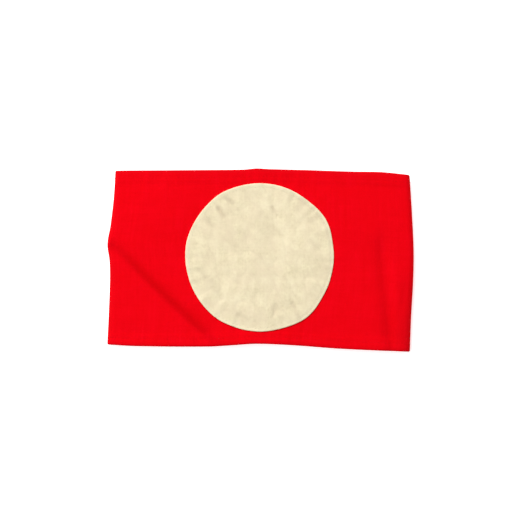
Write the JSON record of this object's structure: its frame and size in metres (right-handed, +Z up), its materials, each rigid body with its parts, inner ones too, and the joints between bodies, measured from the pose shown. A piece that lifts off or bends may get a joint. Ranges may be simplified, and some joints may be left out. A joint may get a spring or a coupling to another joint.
{
  "type": "cloth armband",
  "caption": "Red cloth armband: a hemmed strip sewn into a loop for the upper arm, with a plain cream cloth disc sewn on its front, lying flat.",
  "frame": {"origin": "centre of the armband's footprint, on the surface that it lies on", "axes": "+X along the loop's flat width, to the wearer's left as the disc faces the viewer; +Y across the strip, towards its upper hem; +Z up, the way the disc faces"},
  "size_m": [0.1936, 0.1154, 0.0121],
  "materials": {
    "red_cloth": "matt plain-woven cotton, bright red",
    "cream_cloth": "matt plain-woven cotton, aged cream"
  },
  "bodies": {
    "root": {"band": "red_cloth", "disc": "cream_cloth"}
  },
  "joints": []
}
